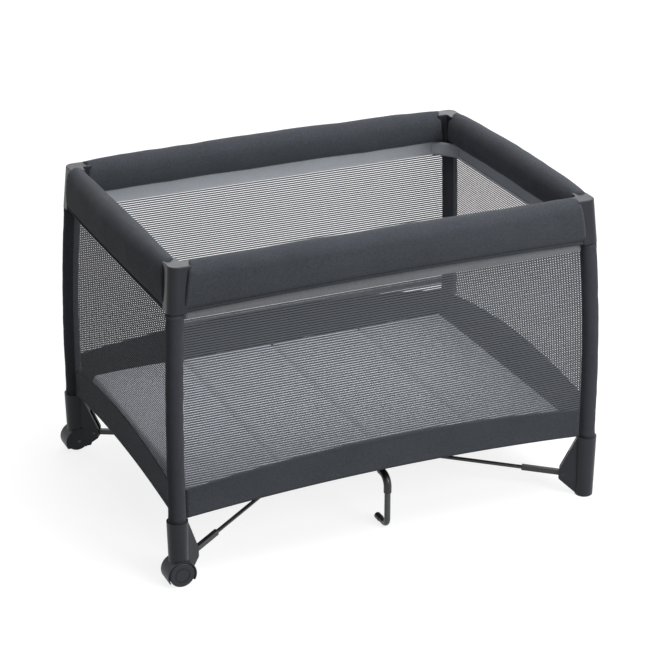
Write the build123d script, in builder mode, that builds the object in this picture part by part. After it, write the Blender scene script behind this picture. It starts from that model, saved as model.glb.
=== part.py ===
"""A folding playpen: bowed corner posts, hinged padded rails, a low centre hub with four rods,
two swing-down centre legs, mesh walls with fabric bands, a fabric floor and a four-panel mat.

Millimetres. +Z is up, +X to the right and -Y to the front. The origin is on the floor under the hub.
"""
import math
import os

from build123d import *

os.makedirs("parts", exist_ok=True)

# Overall size: length and width outside across the corner caps, height to the tops of the padded rails
TOP_LENGTH = 1000.0
TOP_WIDTH = 700.0
HEIGHT = 735.0

# Clearances
PIN_FIT = 0.05
SEAT_GAP = 0.3
SIDE_PLAY = 0.6
SWING_GAP = 1.3

# Corner posts: straight at the foot, then bowed in towards the top
POST_DIAMETER = 28.0
POST_WALL = 1.5
POST_SPLAY = 22.0
BOW_START = 250.0
POST_BOTTOM = 72.0
POST_HEADROOM = 9.0
SLEEVE_DIAMETER = 40.0

# Corner caps
CAP_DROP = 6.0
CAP_HEIGHT = 101.0
CAP_LEG_TOP = 50.0
CAP_LEG_BOTTOM = 40.0
CAP_LEG_DEPTH = 34.0
CAP_LEG_RAKE = 9.0
CAP_OUTER_ROUND = 19.0
CAP_INNER_ROUND = 8.0
CAP_END_ROUND = 4.0
CAP_LIP_ROUND = 2.5

# Feet
FOOT_TOP = 151.0
FOOT_TOP_RADIUS = 23.5
FOOT_BOTTOM_RADIUS = 21.0
FOOT_EDGE_ROUND = 3.0
FIN_THICKNESS = 25.0
FIN_ROUND = 6.0
FIN_NOSE = 11.0
FIN_HEEL = 16.0
FIN_SHOULDER = 20.0
FIN_LIFT = 4.0

# Wheels and their fenders, on the two left feet
WHEEL_RADIUS = 28.5
WHEEL_WIDTH = 36.0
WHEEL_GAP = 1.5
WHEEL_PROUD = 0.5
WHEEL_EDGE_ROUND = 3.0
WHEEL_RING_RADIUS = 17.0
WHEEL_RING_WIDTH = 2.0
WHEEL_RING_DEPTH = 1.2
FENDER_WALL = 3.0
FENDER_FRONT = 23.5
FENDER_BACK_WALL = 9.0
FENDER_LOW = 13.0
AXLE_DIAMETER = 8.0
AXLE_NOSE = 4.5

# Centre hub and the four rods
HUB_PIVOT_X = 50.0
HUB_PIVOT_Y = 45.0
HUB_HALF_LENGTH = 36.0
HUB_HALF_WIDTH = 31.0
HUB_BOTTOM = 62.0
HUB_ROUND = 8.0
HUB_PLATE_LENGTH = 112.0
HUB_PLATE_WIDTH = 100.0
HUB_PLATE_THICKNESS = 9.0
LINK_SLOPE = 3.2
FOOT_PIVOT_INSET = 48.0
FOOT_PIVOT_Z = 50.0
ROD_DIAMETER = 9.0
ROD_FITTING_HEIGHT = 12.0
ROD_FITTING_WIDTH = 10.0
ROD_FOOT_FITTING = 105.0
ROD_HUB_FITTING = 60.0
ROD_END = 7.0
ROD_PIN_DIAMETER = 6.0
EAR_THICKNESS = 3.5
EAR_RADIUS = 9.0
ROD_EAR_REACH = 40.0

# Rails, their centre locks and pins
RAIL_DIAMETER = 20.0
RAIL_WALL = 1.5
RAIL_INSET = 29.0
RAIL_OUTSET = 5.0
RAIL_END = 7.0
LONG_PIVOT_DROP = 22.0
SHORT_PIVOT_DROP = 25.0
RAIL_PIN_DIAMETER = 8.0
CHEEK_THICKNESS = 2.8
LOCK_END_RADIUS = 11.0
LOCK_WEB = 3.2

# Padded rail covers, each with a skirt that hangs over the top of its wall
COVER_LOCK_PLAY = 2.2
COVER_WALL = 8.0
COVER_CROWN = 2.0
COVER_LINING_CROWN = 0.5
COVER_ROUND = 14.0
SKIRT_THICKNESS = 4.0

# Centre legs: a tube that drops to the floor and turns in to a tip
LEG_DIAMETER = 14.0
LEG_WALL = 1.5
LEG_SIDE = 12.0
LEG_PIVOT_Y = 44.0
LEG_PIVOT_Z = 130.0
LEG_INSET = 34.0
LEG_TOP_BEND = 25.0
LEG_FOOT_BEND = 16.0
LEG_FOOT_RUN = 44.0
LEG_ELBOW_DIAMETER = 18.0
LEG_ELBOW_RUN = 38.0
LEG_TIP_DIAMETER = 16.0
LEG_TIP_LENGTH = 20.0
LEG_END = 7.0

# Fabric walls, floor and mat
CLOTH = 1.6
BINDING_THICKNESS = 3.0
BINDING_DROP = 20.0
BAND_FOOT_GAP = 1.5
BAND_FLOOR_LAP = 2.0
BAND_HIGH_AT_POST = 220.0
BAND_HIGH_AT_MIDDLE = 251.0
BAND_RISE = {"front": 0.0, "back": 28.0, "left": 0.0, "right": 20.0}
FLOOR_BOTTOM = 174.0
FLOOR_THICKNESS = 2.0
MAT_END_ROOM = 30.9
MAT_SIDE_ROOM = 16.9
MAT_THICKNESS = 28.0
MAT_EDGE_THICKNESS = 19.0
MAT_SHOULDER_THICKNESS = 25.5
MAT_SHOULDER = 16.0
MAT_CREASE_GAP = 0.6
MAT_PANELS = 4
MAT_CORNER_DRAW = 26.0
MAT_SIDE_BULGE = 5.0
MAT_SIDE_HEIGHT = 15.0
MAT_SHOULDER_DRAW = 6.5

# Worked out from the values above
CAP_TOP = HEIGHT - CAP_DROP
CAP_BOTTOM = CAP_TOP - CAP_HEIGHT
POST_TOP = CAP_TOP - POST_HEADROOM
LONG_PIVOT_Z = CAP_TOP - LONG_PIVOT_DROP
SHORT_PIVOT_Z = CAP_TOP - SHORT_PIVOT_DROP
BAND_LOW_AT_POST = FOOT_TOP + BAND_FOOT_GAP
BAND_LOW_AT_MIDDLE = FLOOR_BOTTOM - BAND_FLOOR_LAP
POST_X = TOP_LENGTH / 2 - SLEEVE_DIAMETER / 2 + POST_SPLAY
POST_Y = TOP_WIDTH / 2 - SLEEVE_DIAMETER / 2 + POST_SPLAY
BOW_RISE = CAP_TOP - BOW_START
BOW_DEPTH = POST_SPLAY * math.sqrt(2)
BOW_RADIUS = (BOW_RISE**2 + BOW_DEPTH**2) / (2 * BOW_DEPTH)
SLEEVE_TOP = CAP_BOTTOM - SEAT_GAP - SLEEVE_DIAMETER / 2 * (CAP_BOTTOM - BOW_START) / BOW_RADIUS
LEG_REACH = POST_Y - LEG_INSET
RAIL_X = POST_X - POST_SPLAY + RAIL_OUTSET
RAIL_Y = POST_Y - POST_SPLAY + RAIL_OUTSET
ROD_ANGLE = math.atan2(POST_Y - HUB_PIVOT_Y, POST_X - HUB_PIVOT_X)
FOOT_PIVOT_X = POST_X - FOOT_PIVOT_INSET * math.cos(ROD_ANGLE)
FOOT_PIVOT_Y = POST_Y - FOOT_PIVOT_INSET * math.sin(ROD_ANGLE)
ROD_SPAN_X = FOOT_PIVOT_X - HUB_PIVOT_X
ROD_SPAN_Y = FOOT_PIVOT_Y - HUB_PIVOT_Y
ROD_SPAN = math.hypot(ROD_SPAN_X, ROD_SPAN_Y)
SLOPE = math.tan(math.radians(LINK_SLOPE))
HUB_PIVOT_Z = FOOT_PIVOT_Z + ROD_SPAN * SLOPE
LONG_PIVOT_X = POST_X - POST_SPLAY - RAIL_INSET
SHORT_PIVOT_Y = POST_Y - POST_SPLAY - RAIL_INSET
LONG_LOCK_X = LONG_PIVOT_X - ROD_SPAN_X
SHORT_LOCK_Y = SHORT_PIVOT_Y - ROD_SPAN_Y
LONG_LOCK_Z = LONG_PIVOT_Z - ROD_SPAN_X * SLOPE
SHORT_LOCK_Z = SHORT_PIVOT_Z - ROD_SPAN_Y * SLOPE
HUB_TOP = FLOOR_BOTTOM - SEAT_GAP
FENDER_RADIUS = WHEEL_RADIUS + WHEEL_GAP + FENDER_WALL
FENDER_LENGTH = WHEEL_WIDTH - WHEEL_PROUD + WHEEL_GAP + FENDER_BACK_WALL
LEG_EAR_REACH = LEG_PIVOT_Y - HUB_HALF_WIDTH + HUB_ROUND
FLOOR_LENGTH = 2 * (POST_X - CLOTH / 2 - SEAT_GAP)
FLOOR_WIDTH = 2 * (POST_Y - CLOTH / 2 - SEAT_GAP)
MAT_LENGTH = FLOOR_LENGTH - 2 * MAT_END_ROOM
MAT_WIDTH = FLOOR_WIDTH - 2 * MAT_SIDE_ROOM
PANEL_LENGTH = MAT_LENGTH / MAT_PANELS
MAT_BOTTOM = FLOOR_BOTTOM + FLOOR_THICKNESS + SEAT_GAP
RAIL_SLOT = RAIL_DIAMETER + 2 * SIDE_PLAY
LOCK_WIDTH = RAIL_SLOT + 2 * CHEEK_THICKNESS
COVER_THICKNESS = LOCK_WIDTH + 2 * (COVER_LOCK_PLAY + COVER_WALL)
ROD_SLOT = ROD_FITTING_WIDTH + SIDE_PLAY
LEG_SLOT = LEG_DIAMETER + SIDE_PLAY
RAIL_SWING = math.hypot(RAIL_END, RAIL_DIAMETER / 2) + SWING_GAP
COVER_BOTTOM = LONG_LOCK_Z - RAIL_SWING - LOCK_WEB - COVER_LOCK_PLAY - COVER_WALL
BINDING_TOP = COVER_BOTTOM - SEAT_GAP
BINDING_STEP = CAP_BOTTOM - SEAT_GAP
BINDING_BOTTOM = CAP_BOTTOM - BINDING_DROP
ROD_SWING = math.hypot(ROD_END, ROD_FITTING_HEIGHT / 2) + SWING_GAP

CORNERS = {
    "front_left": (-1, -1),
    "front_right": (1, -1),
    "back_right": (1, 1),
    "back_left": (-1, 1),
}


def save(builder, name):
    """Label a finished piece and write it."""
    builder.part.label = name
    export_step(builder.part, f"parts/{name}.step")


def post_inset(z):
    """How far the post's centre line has moved in, along X and along Y alike, at height z."""
    rise = max(0.0, z - BOW_START)
    return (BOW_RADIUS - math.sqrt(BOW_RADIUS**2 - rise**2)) / math.sqrt(2)


def bowed_tube(sx, sy, low, high, outer, inner=0.0):
    """A round bar or tube along the centre line of a corner post."""
    diagonal = Plane(origin=(sx * POST_X, sy * POST_Y, 0), x_dir=(sx, sy, 0), z_dir=(sy, -sx, 0))
    with BuildPart() as tube:
        with BuildLine(diagonal) as path:
            Line((0, low), (0, BOW_START))
            bow = [(BOW_START + high) / 2, high]
            ThreePointArc((0, BOW_START), *[(-math.sqrt(2) * post_inset(z), z) for z in bow])
        with BuildSketch(Plane(origin=(sx * POST_X, sy * POST_Y, low))):
            Circle(outer / 2)
            if inner:
                Circle(inner / 2, mode=Mode.SUBTRACT)
        sweep(path=path.wires()[0])
    return tube


def rail_ends(sx, sy):
    """The long and the short rail's hinge at a corner: pivot point, way to the middle, pin axis."""
    long_end = (Vector(sx * LONG_PIVOT_X, sy * RAIL_Y, LONG_PIVOT_Z), Vector(-sx, 0, 0), Vector(0, 1, 0))
    short_end = (Vector(sx * RAIL_X, sy * SHORT_PIVOT_Y, SHORT_PIVOT_Z), Vector(0, -sy, 0), Vector(1, 0, 0))
    return long_end, short_end


def rod_plane(sx, sy):
    """The upright plane of a rod: its X runs from the post's centre line in towards the hub."""
    inward = Vector(-sx * math.cos(ROD_ANGLE), -sy * math.sin(ROD_ANGLE), 0)
    across = Vector(inward.Y, -inward.X, 0)
    return Plane(origin=(sx * POST_X, sy * POST_Y, 0), x_dir=inward, z_dir=across)


def pin_along(centre, axis, diameter, length):
    """A plain pin centred on a point, added to the part being built."""
    with Locations(Plane(origin=centre, z_dir=axis)):
        Cylinder(diameter / 2, length)


def bore_along(centre, axis, diameter, length):
    """A round hole centred on a point, cut from the part being built."""
    with Locations(Plane(origin=centre, z_dir=axis)):
        Cylinder(diameter / 2, length, mode=Mode.SUBTRACT)


def forked_ears(pivot, pin_axis, inward, slot, reach, radius, thickness):
    """Two round-ended ears either side of a slot, reaching inward from a pivot, added to the part."""
    for side in (-1, 1):
        centre = pivot + pin_axis * (side * (slot + thickness) / 2)
        with Locations(Plane(origin=centre, x_dir=inward, z_dir=pin_axis)):
            Cylinder(radius, thickness)
            Box(reach, 2 * radius, thickness, align=(Align.MIN, Align.CENTER, Align.CENTER))


# Corner posts and their fabric sleeves
for corner, (sx, sy) in CORNERS.items():
    post_tube = bowed_tube(sx, sy, POST_BOTTOM, POST_TOP, POST_DIAMETER, POST_DIAMETER - 2 * POST_WALL)
    save(post_tube, f"post_tube_{corner}")
    sleeve_low = FOOT_TOP + SEAT_GAP
    sleeve_bore = POST_DIAMETER + 2 * SEAT_GAP
    post_sleeve = bowed_tube(sx, sy, sleeve_low, SLEEVE_TOP, SLEEVE_DIAMETER, sleeve_bore)
    save(post_sleeve, f"post_sleeve_{corner}")


# Corner caps: an L-shaped shell round the post, with a fork for each rail
def cap_section(sx, sy, z, leg):
    """The cap's outline at one height, as an L with a round outer corner."""
    x = POST_X - post_inset(z) + SLEEVE_DIAMETER / 2
    y = POST_Y - post_inset(z) + SLEEVE_DIAMETER / 2
    depth = CAP_LEG_DEPTH
    reach = leg + CAP_LEG_RAKE
    outline = [
        (x, y),
        (x - leg, y),
        (x - reach, y - depth),
        (x - depth, y - depth),
        (x - depth, y - reach),
        (x, y - leg),
    ]
    corners = [Vector(sx * px, sy * py, 0) for px, py in outline]
    rounds = [
        CAP_OUTER_ROUND,
        CAP_END_ROUND,
        CAP_END_ROUND,
        CAP_INNER_ROUND,
        CAP_END_ROUND,
        CAP_END_ROUND,
    ]
    with BuildSketch(Plane.XY.offset(z)) as section:
        with BuildLine():
            Polyline([(p.X, p.Y) for p in corners], close=True)
        make_face()
        for point, radius in zip(corners, rounds):
            fillet(section.vertices().sort_by_distance(point)[0], radius=radius)
    return section.sketch


for corner, (sx, sy) in CORNERS.items():
    post_bore = bowed_tube(sx, sy, FOOT_TOP, POST_TOP + SEAT_GAP, POST_DIAMETER + 2 * SEAT_GAP)
    low_section = cap_section(sx, sy, CAP_BOTTOM, CAP_LEG_BOTTOM)
    high_section = cap_section(sx, sy, CAP_TOP, CAP_LEG_TOP)
    with BuildPart() as corner_cap:
        loft([low_section, high_section], ruled=True)
        fillet(corner_cap.faces().sort_by(Axis.Z)[-1].edges(), radius=CAP_LIP_ROUND)
        for pivot, inward, pin_axis in rail_ends(sx, sy):
            reach = RAIL_INSET - POST_DIAMETER / 2
            forked_ears(pivot, pin_axis, -inward, RAIL_SLOT, reach, LOCK_END_RADIUS, CHEEK_THICKNESS)
        for pivot, inward, pin_axis in rail_ends(sx, sy):
            slot_length = RAIL_SWING + CAP_LEG_TOP
            slot_height = RAIL_SWING + pivot.Z - CAP_BOTTOM + SWING_GAP
            centre = pivot + inward * (slot_length / 2 - RAIL_SWING)
            slot_middle = Vector(centre.X, centre.Y, pivot.Z + RAIL_SWING - slot_height / 2)
            size_along = Vector(abs(inward.X), abs(inward.Y), 0) * slot_length
            slot_size = size_along + pin_axis * RAIL_SLOT
            with Locations(slot_middle):
                Box(slot_size.X, slot_size.Y, slot_height, mode=Mode.SUBTRACT)
            bore_along(pivot, pin_axis, RAIL_PIN_DIAMETER + 2 * PIN_FIT, LOCK_WIDTH)
        add(post_bore.part, mode=Mode.SUBTRACT)
    save(corner_cap, f"corner_cap_{corner}")


# Feet: a tapered shank on the post, a forked fin for the rod, and a wheel fender on the left
def wheel_front(sx, sy):
    """The plane of the fender's open face, looking in along the axle."""
    front = Vector(sx * POST_X, sy * (POST_Y + FENDER_FRONT), WHEEL_RADIUS)
    return Plane(origin=front, x_dir=(1, 0, 0), z_dir=(0, -sy, 0))


for corner, (sx, sy) in CORNERS.items():
    wheeled = sx < 0
    plane = rod_plane(sx, sy)
    shank_low = WHEEL_RADIUS if wheeled else 0.0
    fin_outline = [
        (0, FOOT_TOP - FIN_LIFT),
        (FIN_SHOULDER, FOOT_TOP - FIN_LIFT),
        (FOOT_PIVOT_INSET + FIN_NOSE, FOOT_PIVOT_Z + FIN_NOSE),
        (FOOT_PIVOT_INSET + FIN_NOSE, FOOT_PIVOT_Z - FIN_NOSE),
        (FIN_HEEL, FIN_LIFT),
        (0, FIN_LIFT),
    ]
    with BuildPart() as foot:
        with BuildSketch(Plane(origin=(sx * POST_X, sy * POST_Y, shank_low))):
            Circle(FOOT_BOTTOM_RADIUS)
        with BuildSketch(Plane(origin=(sx * POST_X, sy * POST_Y, FOOT_TOP))):
            Circle(FOOT_TOP_RADIUS)
        loft()
        if not wheeled:
            fillet(foot.faces().sort_by(Axis.Z)[0].edges(), radius=FOOT_EDGE_ROUND)
        with BuildSketch(plane) as fin:
            with BuildLine():
                Polyline(fin_outline, close=True)
            make_face()
            for point in fin_outline[2:4]:
                fillet(fin.vertices().sort_by_distance((*point, 0))[0], radius=FIN_ROUND)
        extrude(amount=FIN_THICKNESS / 2, both=True)
        if wheeled:
            with BuildSketch(wheel_front(sx, sy)):
                Circle(FENDER_RADIUS)
            extrude(amount=FENDER_LENGTH)
            with BuildSketch(wheel_front(sx, sy)):
                Circle(WHEEL_RADIUS + WHEEL_GAP)
            extrude(amount=FENDER_LENGTH - FENDER_BACK_WALL, mode=Mode.SUBTRACT)
            with BuildSketch(wheel_front(sx, sy)):
                Circle(AXLE_DIAMETER / 2 + PIN_FIT)
            extrude(amount=FENDER_LENGTH, mode=Mode.SUBTRACT)
            with Locations((sx * POST_X, sy * POST_Y, 0)):
                Box(4 * FENDER_RADIUS, 4 * FENDER_RADIUS, 2 * FENDER_LOW, mode=Mode.SUBTRACT)
        with BuildSketch(plane):
            slot_side = FOOT_PIVOT_INSET - ROD_SWING
            with Locations((slot_side, FOOT_PIVOT_Z - ROD_SWING)):
                Rectangle(FOOT_TOP, FOOT_TOP, align=(Align.MIN, Align.MIN))
        extrude(amount=ROD_SLOT / 2, both=True, mode=Mode.SUBTRACT)
        pivot = plane.from_local_coords((FOOT_PIVOT_INSET, FOOT_PIVOT_Z, 0))
        bore_along(pivot, plane.z_dir, ROD_PIN_DIAMETER + 2 * PIN_FIT, FIN_THICKNESS * 2)
        with BuildSketch(Plane(origin=(sx * POST_X, sy * POST_Y, POST_BOTTOM - SEAT_GAP))):
            Circle(POST_DIAMETER / 2 + SEAT_GAP)
        extrude(amount=FOOT_TOP, mode=Mode.SUBTRACT)
    save(foot, f"foot_{corner}")

    # The corner's pins: two for the rails, one for the rod and, on the left, the wheel's axle
    with BuildPart() as corner_pins:
        for pivot, inward, pin_axis in rail_ends(sx, sy):
            pin_along(pivot, pin_axis, RAIL_PIN_DIAMETER, LOCK_WIDTH - SEAT_GAP)
        rod_pivot = plane.from_local_coords((FOOT_PIVOT_INSET, FOOT_PIVOT_Z, 0))
        pin_along(rod_pivot, plane.z_dir, ROD_PIN_DIAMETER, FIN_THICKNESS)
        if wheeled:
            with BuildSketch(wheel_front(sx, sy).offset(AXLE_NOSE + SEAT_GAP)):
                Circle(AXLE_DIAMETER / 2)
            extrude(amount=FENDER_LENGTH - AXLE_NOSE - SEAT_GAP)
    save(corner_pins, f"corner_pins_{corner}")

    if wheeled:
        face = wheel_front(sx, sy).offset(-WHEEL_PROUD)
        with BuildPart() as wheel:
            with BuildSketch(face):
                Circle(WHEEL_RADIUS)
            extrude(amount=WHEEL_WIDTH)
            fillet(wheel.edges().filter_by(GeomType.CIRCLE), radius=WHEEL_EDGE_ROUND)
            with BuildSketch(face):
                Circle(WHEEL_RING_RADIUS)
                Circle(WHEEL_RING_RADIUS - WHEEL_RING_WIDTH, mode=Mode.SUBTRACT)
            extrude(amount=WHEEL_RING_DEPTH, mode=Mode.SUBTRACT)
            with BuildSketch(face.offset(AXLE_NOSE)):
                Circle(AXLE_DIAMETER / 2 + PIN_FIT)
            extrude(amount=WHEEL_WIDTH, mode=Mode.SUBTRACT)
        save(wheel, f"wheel_{corner}")


# Centre hub: a tower under the floor with a fork for each rod and each centre leg
def hub_rod_pivot(sx, sy):
    """Where a rod is pinned to the hub."""
    return Vector(sx * HUB_PIVOT_X, sy * HUB_PIVOT_Y, HUB_PIVOT_Z)


def leg_pivot(sy):
    """Where a centre leg is pinned to the hub: the front leg stands right of the middle."""
    return Vector(-sy * LEG_SIDE, sy * LEG_PIVOT_Y, LEG_PIVOT_Z)


with BuildPart() as hub:
    with BuildSketch(Plane.XY.offset(HUB_BOTTOM)):
        RectangleRounded(2 * HUB_HALF_LENGTH, 2 * HUB_HALF_WIDTH, HUB_ROUND)
    extrude(amount=HUB_TOP - HUB_BOTTOM)
    with BuildSketch(Plane.XY.offset(HUB_TOP - HUB_PLATE_THICKNESS)):
        RectangleRounded(HUB_PLATE_LENGTH, HUB_PLATE_WIDTH, HUB_ROUND)
    extrude(amount=HUB_PLATE_THICKNESS)
    for sx, sy in CORNERS.values():
        plane = rod_plane(sx, sy)
        pivot = hub_rod_pivot(sx, sy)
        forked_ears(pivot, plane.z_dir, plane.x_dir, ROD_SLOT, ROD_EAR_REACH, EAR_RADIUS, EAR_THICKNESS)
        bore_along(pivot, plane.z_dir, ROD_PIN_DIAMETER + 2 * PIN_FIT, ROD_SLOT + 4 * EAR_THICKNESS)
    for sy in (-1, 1):
        pivot = leg_pivot(sy)
        across = Vector(1, 0, 0)
        forked_ears(pivot, across, Vector(0, -sy, 0), LEG_SLOT, LEG_EAR_REACH, EAR_RADIUS, EAR_THICKNESS)
        bore_along(pivot, across, ROD_PIN_DIAMETER + 2 * PIN_FIT, LEG_SLOT + 4 * EAR_THICKNESS)
save(hub, "hub")

with BuildPart() as hub_pins:
    for sx, sy in CORNERS.values():
        pin_along(
            hub_rod_pivot(sx, sy), rod_plane(sx, sy).z_dir, ROD_PIN_DIAMETER, ROD_SLOT + 2 * EAR_THICKNESS
        )
    for sy in (-1, 1):
        pin_along(leg_pivot(sy), Vector(1, 0, 0), ROD_PIN_DIAMETER, LEG_SLOT + 2 * EAR_THICKNESS)
save(hub_pins, "hub_pins")

# Rods: a round bar with a flat fitting at each end
for corner, (sx, sy) in CORNERS.items():
    upright = rod_plane(sx, sy)
    foot_pivot = upright.from_local_coords((FOOT_PIVOT_INSET, FOOT_PIVOT_Z, 0))
    along = hub_rod_pivot(sx, sy) - foot_pivot
    rod_length = along.length
    sloped = Plane(origin=foot_pivot, x_dir=along, z_dir=upright.z_dir)
    with BuildPart() as rod:
        with BuildSketch(Plane(origin=foot_pivot, z_dir=along)):
            Circle(ROD_DIAMETER / 2)
        extrude(amount=rod_length)
        with BuildSketch(sloped):
            with Locations((-ROD_END, 0)):
                Rectangle(ROD_FOOT_FITTING, ROD_FITTING_HEIGHT, align=(Align.MIN, Align.CENTER))
            with Locations((rod_length + ROD_END, 0)):
                Rectangle(ROD_HUB_FITTING, ROD_FITTING_HEIGHT, align=(Align.MAX, Align.CENTER))
        extrude(amount=ROD_FITTING_WIDTH / 2, both=True)
        for pivot in (foot_pivot, hub_rod_pivot(sx, sy)):
            bore_along(pivot, upright.z_dir, ROD_PIN_DIAMETER + 2 * PIN_FIT, 2 * ROD_FITTING_WIDTH)
    save(rod, f"rod_{corner}")

# Centre legs, each with its elbow cover and its floor tip
for name, sy in (("front", -1), ("back", 1)):
    pivot = leg_pivot(sy)
    foot_z = LEG_TIP_DIAMETER / 2
    knee = Vector(pivot.X, sy * LEG_REACH, LEG_PIVOT_Z)
    ankle = Vector(pivot.X, sy * LEG_REACH, foot_z)
    toe = Vector(pivot.X, sy * (LEG_REACH - LEG_FOOT_RUN), foot_z)
    top_end = Vector(pivot.X, pivot.Y - sy * LEG_END, LEG_PIVOT_Z)
    elbow_top = Vector(knee.X, knee.Y - sy * LEG_ELBOW_RUN, knee.Z)
    elbow_low = Vector(knee.X, knee.Y, knee.Z - LEG_ELBOW_RUN)
    with BuildPart() as leg_tube:
        with BuildLine() as leg_path:
            FilletPolyline([top_end, knee, ankle, toe], radius=[LEG_TOP_BEND, LEG_FOOT_BEND])
        with BuildSketch(Plane(origin=top_end, z_dir=(0, sy, 0))):
            Circle(LEG_DIAMETER / 2)
            Circle(LEG_DIAMETER / 2 - LEG_WALL, mode=Mode.SUBTRACT)
        sweep(path=leg_path.wires()[0])
        bore_along(pivot, Vector(1, 0, 0), ROD_PIN_DIAMETER + 2 * PIN_FIT, 2 * LEG_DIAMETER)
    with BuildPart() as elbow_cover:
        with BuildLine() as elbow_path:
            FilletPolyline([elbow_top, knee, elbow_low], radius=LEG_TOP_BEND)
        with BuildSketch(Plane(origin=elbow_top, z_dir=(0, sy, 0))):
            Circle(LEG_ELBOW_DIAMETER / 2)
            Circle(LEG_DIAMETER / 2 + SEAT_GAP, mode=Mode.SUBTRACT)
        sweep(path=elbow_path.wires()[0])
    with BuildPart() as tip:
        with BuildSketch(Plane(origin=toe + Vector(0, sy * LEG_TIP_LENGTH / 2, 0), z_dir=(0, -sy, 0))):
            Circle(LEG_TIP_DIAMETER / 2)
        extrude(amount=LEG_TIP_LENGTH)
        fillet(tip.faces().sort_by(Axis.Y)[0 if sy > 0 else -1].edges(), radius=WHEEL_EDGE_ROUND)
        with BuildSketch(Plane(origin=toe + Vector(0, -sy * SEAT_GAP, 0), z_dir=(0, sy, 0))):
            Circle(LEG_DIAMETER / 2 + SEAT_GAP)
        extrude(amount=LEG_TIP_LENGTH, mode=Mode.SUBTRACT)
    with BuildPart() as centre_leg:
        add(leg_tube.part)
        add(elbow_cover.part)
        add(tip.part)
    save(centre_leg, f"centre_leg_{name}")


# Rails: each is two half tubes pinned to a centre lock
def half_rail(corner_pivot, lock_pivot, pin_axis):
    """A tube between a corner pivot and a lock pivot, drilled for both pins."""
    along = (lock_pivot - corner_pivot).normalized()
    with BuildPart() as tube:
        with BuildSketch(Plane(origin=corner_pivot - along * RAIL_END, z_dir=along)):
            Circle(RAIL_DIAMETER / 2)
            Circle(RAIL_DIAMETER / 2 - RAIL_WALL, mode=Mode.SUBTRACT)
        extrude(amount=(lock_pivot - corner_pivot).length + 2 * RAIL_END)
        for pivot in (corner_pivot, lock_pivot):
            bore_along(pivot, pin_axis, RAIL_PIN_DIAMETER + 2 * PIN_FIT, 2 * RAIL_DIAMETER)
    return tube


def centre_lock(middle, along, pin_axis, half_spacing):
    """A channel that holds the two half rails, with its two pins as separate pieces."""
    swing = half_spacing - RAIL_SWING
    low = -RAIL_SWING - LOCK_WEB
    across = Plane(origin=middle, x_dir=along, z_dir=pin_axis)
    up = 1 if across.y_dir.Z > 0 else -1
    with BuildPart() as housing:
        with BuildSketch(across):
            with Locations((0, up * (LOCK_END_RADIUS + low) / 2)):
                RectangleRounded(2 * (half_spacing + LOCK_END_RADIUS), LOCK_END_RADIUS - low, CAP_INNER_ROUND)
        extrude(amount=LOCK_WIDTH / 2, both=True)
        with BuildSketch(across):
            for side in (-1, 1):
                with Locations((side * (swing + HEIGHT / 2), up * (HEIGHT / 2 - RAIL_SWING))):
                    Rectangle(HEIGHT, HEIGHT)
        extrude(amount=RAIL_SLOT / 2, both=True, mode=Mode.SUBTRACT)
        for side in (-1, 1):
            pivot = middle + along * side * half_spacing
            bore_along(pivot, pin_axis, RAIL_PIN_DIAMETER + 2 * PIN_FIT, 2 * LOCK_WIDTH)
    with BuildPart() as lock:
        add(housing.part)
        for side in (-1, 1):
            pin_along(middle + along * side * half_spacing, pin_axis, RAIL_PIN_DIAMETER, LOCK_WIDTH)
    return lock


for name, sy in (("front", -1), ("back", 1)):
    middle = Vector(0, sy * RAIL_Y, LONG_LOCK_Z)
    for half, sx in (("left", -1), ("right", 1)):
        corner_pivot = rail_ends(sx, sy)[0][0]
        lock_pivot = middle + Vector(sx * LONG_LOCK_X, 0, 0)
        save(half_rail(corner_pivot, lock_pivot, Vector(0, 1, 0)), f"rail_tube_{name}_{half}")
    save(centre_lock(middle, Vector(1, 0, 0), Vector(0, 1, 0), LONG_LOCK_X), f"rail_lock_{name}")
for name, sx in (("left", -1), ("right", 1)):
    middle = Vector(sx * RAIL_X, 0, SHORT_LOCK_Z)
    for half, sy in (("front", -1), ("back", 1)):
        corner_pivot = rail_ends(sx, sy)[1][0]
        lock_pivot = middle + Vector(0, sy * SHORT_LOCK_Y, 0)
        save(half_rail(corner_pivot, lock_pivot, Vector(1, 0, 0)), f"rail_tube_{name}_{half}")
    save(centre_lock(middle, Vector(0, 1, 0), Vector(1, 0, 0), SHORT_LOCK_Y), f"rail_lock_{name}")


# Padded covers: a crowned hollow section along each rail, cut to the slant of the caps
def crowned_face(half_width, low, high, crown, radius):
    """A tall section with gently swelling sides and round corners, in the sketch being built."""
    middle = (low + high) / 2
    corners = [(-half_width, low), (half_width, low), (half_width, high), (-half_width, high)]
    with BuildSketch(mode=Mode.PRIVATE) as section:
        with BuildLine():
            Line(corners[0], corners[1])
            ThreePointArc(corners[1], (half_width + crown, middle), corners[2])
            ThreePointArc(corners[2], (0, high + crown), corners[3])
            ThreePointArc(corners[3], (-half_width - crown, middle), corners[0])
        make_face()
        fillet(section.vertices(), radius=radius)
    return section.sketch


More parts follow.
